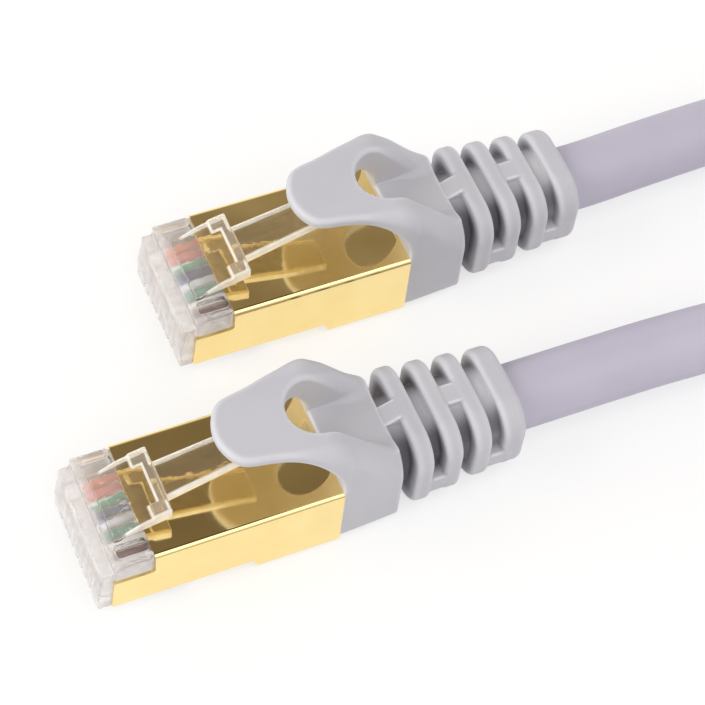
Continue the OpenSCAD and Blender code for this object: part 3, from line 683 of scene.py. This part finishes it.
def strain_relief(x, y, z):
    """Four rings, each a rounded rectangle with round edges, on a slimmer core. Bridges join each to the piece
    before it, by turns on the top and on the sides; the first one slopes down to the boot's saddle."""
    v = z - AXIS_Z
    solid = np.maximum(rounded_box(y, v, *RELIEF_CORE), span(x, RELIEF_X, RELIEF_END))
    for k in range(RINGS):
        last, on_top = k == RINGS - 1, k % 2 == 0
        start = RELIEF_X + RING_GAP + k * (RING_GAP + RING_T)
        w, h = RING_W - k * RING_W_STEP, RING_H - k * RING_H_STEP
        outline = rounded_box(y, v, w, h, RING_CORNER)
        ring = round_max(outline, start - x, RING_FRONT_EDGE)
        rear = x - start - (LAST_RING_T if last else RING_T)
        ring = round_max(ring, rear, LAST_REAR_EDGE if last else RING_REAR_EDGE)
        solid = round_min(solid, ring, RING_FILLET)
        inner = outline + BRIDGE_STEP
        if k == 0:
            inner = inner + (AXIS_Z + h / 2 - SADDLE_Z - BRIDGE_STEP) * np.clip((start - x) / RING_GAP, 0, 1)
        if on_top:
            inner = np.maximum(inner, -v)
        middle = abs(y) - TOP_BRIDGE_HALF if on_top else abs(v - SIDE_BRIDGE_Z) - SIDE_BRIDGE_HALF
        length = span(x, start - RING_GAP - INTO_RING_BEFORE, start + INTO_RING_AFTER)
        bridge = round_max(round_max(inner, middle, BRIDGE_EDGE), length, BRIDGE_END_EDGE)
        solid = round_min(solid, bridge, RING_FILLET)
    return np.maximum(solid, BORE_R - np.hypot(y, v))


# painted highlight: how far the outer edges are painted paler
EDGE_HIGHLIGHT_SHARE = 0.65
# painted shade: how dark the grooves between the rings are painted, by depth below the ring outline
GROOVE_SHADE_STRENGTH, GROOVE_FROM, GROOVE_FADE = 0.9, 0.5, 1.2
BARE_END = 1.5
GUARD_BEND_START, GUARD_BEND_END = (24.5, 0, 6.0), (20.0, 0, 10.5)


def make_boots():
    """The boot with its guard in one surface, and the rings."""
    boot_net = skin(overmould, *box_lines(BOOT_BOX, SOFT_STEP))
    relief_net = skin(strain_relief, *box_lines(RELIEF_BOX, SOFT_STEP))
    # painted highlight: the boot's outer edges are painted paler
    boot_highlight = EDGE_HIGHLIGHT_SHARE * edges(overmould, boot_net[0])
    x, y, z = relief_net[0].T
    # painted shade: points deeper below the ring outline are painted darker, except at the bare end of the rings
    taper = RING_W_STEP / 2 * (x - RELIEF_X - RING_GAP) / (RING_GAP + RING_T)
    depth = -rounded_box(y, z - AXIS_Z, RING_W - 2 * taper, RING_H - taper, RING_CORNER)
    groove = GROOVE_SHADE_STRENGTH * eased((depth - GROOVE_FROM) / GROOVE_FADE) * (x < RELIEF_END - BARE_END)
    # painted highlight on the rings' outer edges, left out where the grooves are painted dark
    relief_highlight = EDGE_HIGHLIGHT_SHARE * edges(strain_relief, relief_net[0]) * (1 - groove)
    for k in PLUG_AT:
        points, faces, normals = boot_net
        boot = add_piece(f"overmould_{k}", at_plug(k, points), faces, VINYL, None, "boot", normals, rim=boot_highlight)
        start, end = (at_plug(k, np.array(p)) * MM for p in (GUARD_BEND_START, GUARD_BEND_END))
        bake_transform(boot)
        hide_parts(f"boot_{k}", f"latch_guard_{k}")
        points, faces, normals = relief_net
        relief = add_piece(
            f"relief_rings_{k}", at_plug(k, points), faces, VINYL, "plugs_and_cable", "boot", normals,
            rim=relief_highlight, groove=groove,
        )
        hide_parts(f"strain_relief_{k}")


make_boots()

# ---------------------------------------------------------------- clear parts

LATCH_BOX = (1.1, 15.7), (-3.6, 3.6), (5.5, 11)
LATCH_STEP, LATCH_STEP_Z = 0.1, 0.08
LATCH_X, LATCH_Z, LATCH_W, LATCH_T = 2.0, 6.35, 6.7, 0.95
ROOT_BACK, ROOT_R, ROOT_EDGE = 0.2, 0.35, 0.1
THIN_SHARE, THIN_LENGTH = 0.3, 3
SHOULDER_X, SHOULDER_L, SHOULDER_T = 7.0, 1.8, 0.25
RIB_L, SHOULDER_RAMP, RIB_RAMP = 0.9, 0.3, 0.15
PLATE_START, LEVER_OVERLAP = 0.25, 0.5
LEVER_X, LEVER_W, LEVER_END_W, LEVER_END_T = 15.4, 3.7, 3.2, 0.8
LATCH_SLOPE, LEVER_SLOPE = 0.23, 0.265
LATCH_EDGE, PLATE_CORNER, LEVER_CORNER = 0.2, 0.15, 0.3
ROOT_FILLET, LEVER_FILLET = 0.2, 0.12
LATCH_GAP, LATCH_GAP_SLOPE, LATCH_GAP_EDGE = 0.03, 0.16, 0.02


def tapered(start_x, end_x, start_value, end_value, x):
    """A value that runs straight from one place to another along the latch."""
    return start_value + (end_value - start_value) * (x - start_x) / (end_x - start_x)


def latch(x, y, z):
    """Round root, a wide sloping plate that thickens towards two raised shoulders with a rib between them, and the
    lever. A plane that rises to the rear cuts the underside, so that the latch swings down clear of the nose."""
    s = abs(y)
    root = np.hypot(x - LATCH_X - ROOT_BACK, z - LATCH_Z) - ROOT_R
    root = round_max(root, s - LATCH_W / 2, ROOT_EDGE)
    tilt = math.hypot(1, LATCH_SLOPE)
    over_plate = (z - LATCH_Z - LATCH_SLOPE * (x - LATCH_X)) / tilt
    thick = LATCH_T / tilt * (THIN_SHARE + (1 - THIN_SHARE) * eased((x - LATCH_X) / THIN_LENGTH))
    shoulders = eased((s - LEVER_W / 2) / RIB_RAMP)
    rib = eased((x - SHOULDER_X + RIB_L) / RIB_RAMP)
    thick = thick + SHOULDER_T * eased((x - SHOULDER_X + SHOULDER_L) / SHOULDER_RAMP) * np.maximum(shoulders, rib)
    sides = round_max(s - LATCH_W / 2, span(x, LATCH_X + PLATE_START, SHOULDER_X), PLATE_CORNER)
    plate = round_max(round_max(-over_plate, over_plate - thick, LATCH_EDGE), sides, LATCH_EDGE)
    bend_z = LATCH_Z + LATCH_SLOPE * (SHOULDER_X - LATCH_X)
    tilt = math.hypot(1, LEVER_SLOPE)
    over_lever = (z - bend_z - LEVER_SLOPE * (x - SHOULDER_X)) / tilt
    half = tapered(SHOULDER_X, LEVER_X, LEVER_W, LEVER_END_W, x) / 2
    thick = tapered(SHOULDER_X, LEVER_X, LATCH_T, LEVER_END_T, x) / tilt
    sides = round_max(s - half, span(x, SHOULDER_X - LEVER_OVERLAP, LEVER_X), LEVER_CORNER)
    lever = round_max(round_max(-over_lever, over_lever - thick, LATCH_EDGE), sides, LATCH_EDGE)
    whole = round_min(round_min(root, plate, ROOT_FILLET), lever, LEVER_FILLET)
    near_nose = NOSE_TOP + LATCH_GAP + LATCH_GAP_SLOPE * np.maximum(x - LATCH_X, 0) - z
    return round_max(whole, near_nose, LATCH_GAP_EDGE)


NOSE_BOX = (-0.6, 5.2), (-6 * PITCH, 6 * PITCH), (-0.25, 6.65)
NOSE_STEP, NOSE_STEPS_IN_PITCH = 0.1, 9
BLOCK_LINE = 5.6, 21.2, 0.4
NOSE_TOP, NOSE_EDGE = 6.3, 0.2
NOSE_LEAN, LEAN_FROM, LEAN_OVER = 0.35, 2, 3
NOSE_REAR = SHELL_FRONT - 0.05
BODY_TOP, BODY_W, BODY_REAR = 6.1, 11.1, 20.9
CHEEK_X, CHEEK_Z, CHEEK_HALF, CHEEK_EDGE, CHEEK_SIDE_EDGE, CHEEK_FILLET = 0.9, 4.15, 5.8, 0.4, 0.45, 0.05
LEDGE_X, LEDGE_Z, LEDGE_FILLET = 1.05, 5.4, 0.12
BLOCK_X, BLOCK_STEP_X, BLOCK_STEP = 4, 7.95, 0.3
CONTACT_SLOT_HALF, CONTACT_SLOT_EDGE = 0.17, 0.06
CONTACT_SLOT_SPAN, CONTACT_SLOT_TOP, SLOT_MOUTH_X, SLOT_MOUTH_TOP = (1.3, 5), 2, 1.4, 1.0
CHANNEL_SPAN, CHANNEL_HALF_W, CHANNEL_HALF_H = (1.6, 12.2), 4.25, 0.5
HOLLOW_SPAN, HOLLOW_HALF_W, HOLLOW_HALF_H = (11.9, 22), 4.4, 2.35
POCKET_SPAN, POCKET_Y, POCKET_W, POCKET_Z = (1.7, 4.4), 4.2, 1.2, 5.9
POCKET_CORNER, POCKET_FLOOR_EDGE, POCKET_RIM = 0.25, 0.1, 0.08


def housing(x, y, z):
    """Clear body: a nose that leans forward in one curve below the ledge on its front, with wider cheeks above the
    shell's tongues, and a long block inside the shell. Slots for the contacts, the channel of the wires, the hollow
    behind it and two shallow pockets are cut out."""
    s = abs(y)
    lean = -NOSE_LEAN * (1 - eased((z - LEAN_FROM) / LEAN_OVER))
    nose = round_max(span(x, lean, NOSE_REAR), span(z, 0, NOSE_TOP), NOSE_EDGE)
    nose = round_max(nose, s - BODY_W / 2, NOSE_EDGE)
    cheek = round_max(span(x, CHEEK_X, NOSE_REAR), span(z, CHEEK_Z, NOSE_TOP), CHEEK_EDGE)
    cheek = round_max(cheek, s - CHEEK_HALF, CHEEK_SIDE_EDGE)
    body = round_min(nose, cheek, CHEEK_FILLET)
    body = round_max(body, -np.maximum(x - LEDGE_X, LEDGE_Z - z), LEDGE_FILLET)
    under = np.where(x < BLOCK_STEP_X, 0, BLOCK_STEP)
    block = np.maximum(span(x, BLOCK_X, BODY_REAR), span(z, under, BODY_TOP))
    body = np.minimum(body, np.maximum(block, s - BODY_W / 2))
    off = abs((y / PITCH) % 1 - 0.5) * PITCH
    mouth = np.maximum(x - SLOT_MOUTH_X, z - SLOT_MOUTH_TOP)
    side = np.minimum(np.maximum(span(x, *CONTACT_SLOT_SPAN), z - CONTACT_SLOT_TOP), mouth)
    slots = np.maximum(np.maximum(off - CONTACT_SLOT_HALF, side), s - WIRES_IN_ROW / 2 * PITCH)
    body = round_max(body, -slots, CONTACT_SLOT_EDGE)
    channel = np.maximum(s - CHANNEL_HALF_W, abs(z - ROW_Z) - CHANNEL_HALF_H)
    channel = np.maximum(span(x, *CHANNEL_SPAN), channel)
    hollow = np.maximum(s - HOLLOW_HALF_W, abs(z - AXIS_Z) - HOLLOW_HALF_H)
    hollow = np.maximum(span(x, *HOLLOW_SPAN), hollow)
    pockets = round_max(abs(s - POCKET_Y) - POCKET_W / 2, span(x, *POCKET_SPAN), POCKET_CORNER)
    pockets = round_max(pockets, POCKET_Z - z, POCKET_FLOOR_EDGE)
    body = round_max(body, -pockets, POCKET_RIM)
    return np.maximum(body, -np.minimum(channel, hollow))


# How milky the clear faces are: the plain ones, the nose's front and sides, and what its top edge adds
HAZE, FRONT_FROST, TOP_EDGE_FROST = 0.19, 0.65, 0.4
TOP_EDGE_END, TOP_EDGE_FADE = 2.4, 1.4
# painted highlight: the lever's side edges are made milky white; painted reflection: its shoulders and rib a little
# milky
LATCH_HAZE, SHOULDER_REFLECTION_FROST, RAIL_HIGHLIGHT_FROST = 0.02, 0.25, 0.9
RAIL_W, RAIL_FADE, RAIL_X, RAIL_START = 0.32, 0.1, 2.6, 0.5
FRONT_DEPTH = 0.15
CLOSE, VERY_CLOSE = 0.1, 0.05  # how near a face a point counts as on it
STEEP_FROM, STEEP_OVER, LEVEL_FROM = 0.5, 0.4, 0.6


def housing_frost(x, y, z):
    """Milky on the front, the sides and the underside of the nose and along its top's front edge; the pockets are
    clear."""
    outside = (x < FRONT_DEPTH) | (abs(y) > BODY_W / 2 - CLOSE) | (z < CLOSE)
    frost = np.where(outside & (x < SHELL_FRONT), FRONT_FROST, HAZE)
    top = (z > NOSE_TOP - CLOSE) | ((x < LEDGE_X + VERY_CLOSE) & (z > LEDGE_Z - CLOSE))
    frost = np.where(top, HAZE + TOP_EDGE_FROST * eased((TOP_EDGE_END - x) / TOP_EDGE_FADE), frost)
    beside = abs(abs(y) - POCKET_Y) < POCKET_W / 2 + CLOSE
    along = (x > POCKET_SPAN[0] - CLOSE) & (x < SHELL_FRONT - CLOSE)
    below_rim = (z < NOSE_TOP - VERY_CLOSE) & (z > POCKET_Z - CLOSE)
    return np.where(beside & along & below_rim, 0.0, frost)


def latch_frost_and_highlights(x, y, up):
    """Milky on steep faces and along the latch's side edges, as a painted highlight, and a little on its raised
    shoulders and rib, as a painted reflection of the gold behind them; up is the upward part of the normal."""
    steep = 1 - eased((abs(up) - STEEP_FROM) / STEEP_OVER)
    rib = x > SHOULDER_X - RIB_L
    shoulders = (x > SHOULDER_X - SHOULDER_L) & (abs(y) > LEVER_W / 2)
    raised = (up > LEVEL_FROM) & (x < SHOULDER_X + CLOSE) & (rib | shoulders)
    half = np.where(x > SHOULDER_X, tapered(SHOULDER_X, LEVER_X, LEVER_W, LEVER_END_W, x), LATCH_W) / 2
    rail = np.maximum(steep, eased((abs(y) - half + RAIL_W) / RAIL_FADE)) * eased((x - RAIL_X) / RAIL_START)
    return np.maximum(np.maximum(RAIL_HIGHLIGHT_FROST * rail, SHOULDER_REFLECTION_FROST * raised), LATCH_HAZE)


def make_clear_parts():
    """The clear body, whose nose has a finer net than the block in the shell, and the latch."""
    x_span, y_span, z_span = NOSE_BOX
    along = np.r_[steps(*x_span, NOSE_STEP), steps(*BLOCK_LINE)]
    across = steps(*y_span, PITCH / NOSE_STEPS_IN_PITCH)
    body_net = skin(housing, along, across, steps(*z_span, NOSE_STEP))
    body_frost = housing_frost(*body_net[0].T)
    x_span, y_span, z_span = LATCH_BOX
    latch_net = skin(latch, steps(*x_span, LATCH_STEP), steps(*y_span, LATCH_STEP), steps(*z_span, LATCH_STEP_Z))
    x, y, _ = latch_net[0].T
    # painted highlight and reflection: milky rails, shoulders and rib on the latch
    milky_highlights = latch_frost_and_highlights(x, y, latch_net[2][:, 2])
    for k in PLUG_AT:
        points, faces, normals = body_net
        piece = add_piece(
            f"clear_body_{k}", at_plug(k, points), faces, CLEAR, "plugs_and_cable", "clear_plastic", normals,
            frost=body_frost,
        )
        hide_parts(f"housing_{k}")
        points, faces, normals = latch_net
        piece = add_piece(
            f"spring_latch_{k}", at_plug(k, points), faces, LATCH_CLEAR, f"latch_of_plug_{k}",
            "clear_plastic", normals, frost=milky_highlights,
        )
        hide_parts(f"latch_{k}")


make_clear_parts()

# ---------------------------------------------------------------- wires

WIRE_X, FAN_X, PAIR_X = 1.7, 11.6, 17.6
PAIR_GAP, PAIR_R = 0.9, 1.4
PAIR_ANGLE = [0, 0, 270, 90, 90, 270, 180, 180]
PAIR_SIDE = [1, -1, 1, 1, -1, -1, 1, -1]
WIRE_POINTS, WIRE_SIDES = 12, 20


def wire_line(i):
    """Wire i lies in its row, slants in to its pair and runs on through the cable."""
    angle = math.radians(PAIR_ANGLE[i])
    y = ((WIRES_IN_ROW - 1) / 2 - i) * PITCH
    pair_y = PAIR_R * math.cos(angle) + PAIR_SIDE[i] * PAIR_GAP / 2
    pair_z = AXIS_Z + PAIR_R * math.sin(angle)
    turns = [[WIRE_X, y, ROW_Z], [FAN_X, y, ROW_Z], [PAIR_X, pair_y, pair_z], [RELIEF_END, pair_y, pair_z]]
    share = np.linspace(0, 1, WIRE_POINTS)[:, None]
    stretches = [np.array(p) + share[:-1] * (np.array(q) - p) for p, q in zip(turns, turns[1:])]
    return np.vstack([*stretches, turns[-1]])


def make_wires():
    """Eight insulated wires in each plug."""
    for i, (name, look) in enumerate(WIRES.items()):
        finish = insulation(name.replace("wire", "insulation"), *look)
        points, faces, uv = swept_tube(wire_line(i), WIRE_D / 2, WIRE_SIDES)
        for k in PLUG_AT:
            piece = add_piece(
                f"insulated_{name}_{k}", at_plug(k, points), faces, finish, "plugs_and_cable", name, uv=uv
            )
            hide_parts(f"{name}_{k}")


make_wires()

# ---------------------------------------------------------------- finishes of the frame's own pieces

NODE_FINISHES = {
    "contacts": CONTACT_GOLD,
    "wire_guide": GUIDE,
    "wire_cores": COPPER,
    "pair_foils": FOIL,
    "braid": BRAID,
    "jacket_end": JACKET,
    "shell": GOLD,
    "inner_mould": INNER,
}
for node, finish in NODE_FINISHES.items():
    for k in PLUG_AT:
        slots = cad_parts[f"{node}_{k}"].data.materials
        slots.clear()
        slots.append(finish)

# ---------------------------------------------------------------- floor, world and lamps

FLOOR_SIZE = 4.0  # metres
PAPER, SEEN_PAPER, PAPER_GLOW = (0.85, 0.85, 0.85, 1), (0.45, 0.45, 0.45, 1), 0.6
LOW_SKY, HIGH_SKY = 1.25, 0.06
WHITE_SKY, WARM_SKY = (1, 1, 1, 1), (1, 0.83, 0.64, 1)
DARK_SIDE = 0.75


def make_floor():
    """White floor: it takes the pieces' soft shadow, and what looks at it sees it as bright as paper in full light."""
    f = new_finish("paper_floor")
    seen = f.maths("MAXIMUM", f.maths("MAXIMUM", f.ray("Camera"), f.ray("Glossy")), f.ray("Transmission"))
    paper = f.node("BsdfDiffuse", Color=f.blend(seen, PAPER, SEEN_PAPER))
    glow = f.node("Emission", Color=(1, 1, 1, 1), Strength=seen * PAPER_GLOW)
    f.node("OutputMaterial", Surface=f.node("AddShader", _0=paper, _1=glow))
    mesh = bpy.data.meshes.new("floor")
    h = FLOOR_SIZE / 2
    mesh.from_pydata([(-h, -h, 0), (h, -h, 0), (h, h, 0), (-h, h, 0)], [], [(0, 1, 2, 3)])
    mesh.materials.append(f.owner)
    floor = bpy.data.objects.new("floor", mesh)
    scene.collection.objects.link(floor)


def make_world():
    """Bright near the horizon, dim and warm overhead and with a darker side behind the camera, like a room of soft
    panels; the camera itself sees it white."""
    world = bpy.data.worlds.new("studio")
    scene.world = world
    f = Finish(world)
    _, y, z = f.parts(f.node("TexCoord", out=0))
    sky = f.node("MapRange", Value=z, From_Min=0.1, From_Max=0.95, To_Min=LOW_SKY, To_Max=HIGH_SKY)
    dark = f.between(y, -0.75, -0.35, 1.0, 0.0) * f.between(z, 0.1, 0.4, 1.0, 0.0)
    strength = f.maths("MAXIMUM", sky * (1 - dark * DARK_SIDE), f.ray("Camera"))
    colour = f.blend(f.between(z, 0.5, 0.9), WHITE_SKY, WARM_SKY)
    f.node("OutputWorld", Surface=f.node("Background", Color=colour, Strength=strength))


def add_lamp(name, place, size, power):
    """A soft square panel that faces the plugs; its place is in metres and its power in watts."""
    data = bpy.data.lights.new(name, "AREA")
    data.shape = "RECTANGLE"
    data.size, data.size_y = size
    data.energy = power
    lamp = bpy.data.objects.new(name, data)
    lamp.location = place
    lamp.rotation_euler = (-Vector(place)).to_track_quat("-Z", "Y").to_euler()
    scene.collection.objects.link(lamp)


make_floor()
make_world()
add_lamp("left_panel", (-0.65, 0.1, 0.4), (0.5, 0.5), 2.6)
add_lamp("top_panel", (0.12, -0.4, 0.8), (0.8, 0.8), 3.7)
